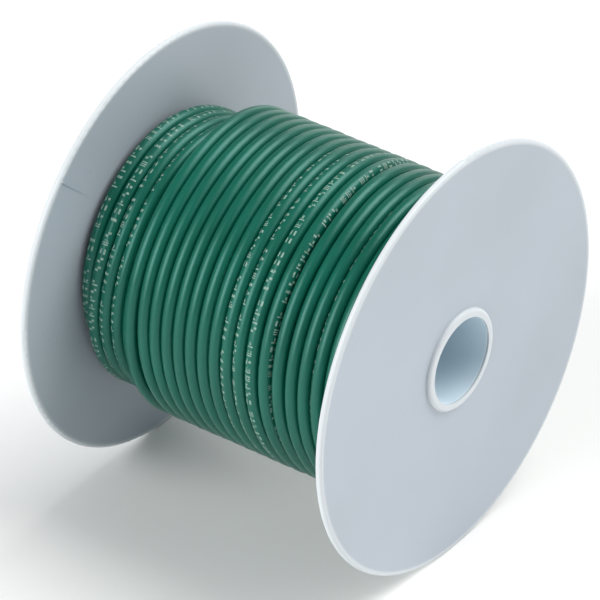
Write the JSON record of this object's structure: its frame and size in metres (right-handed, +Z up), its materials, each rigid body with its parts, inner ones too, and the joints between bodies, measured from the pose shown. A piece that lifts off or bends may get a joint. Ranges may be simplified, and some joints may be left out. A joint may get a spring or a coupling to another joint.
{
  "type": "wire spool",
  "caption": "Plastic spool with two disc flanges, a drum and a through bore, level-wound with insulated stranded wire.",
  "frame": {"origin": "middle of the bore, which is the middle of the spool", "axes": "+X along the bore towards the flange without wire holes, +Z up when the spool stands on its two rims"},
  "size_m": [0.105, 0.127, 0.127],
  "materials": {
    "spool_plastic": "satin",
    "wire_insulation": "gloss",
    "tinned_copper": "satin"
  },
  "bodies": {
    "root": {"near_flange": "spool_plastic", "far_flange": "spool_plastic", "barrel_tube": "spool_plastic", "arbor_tube": "spool_plastic", "wire_winding": "wire_insulation", "finish_lead": "wire_insulation", "start_lead": "wire_insulation", "finish_conductor": "tinned_copper", "start_conductor": "tinned_copper"}
  },
  "joints": []
}
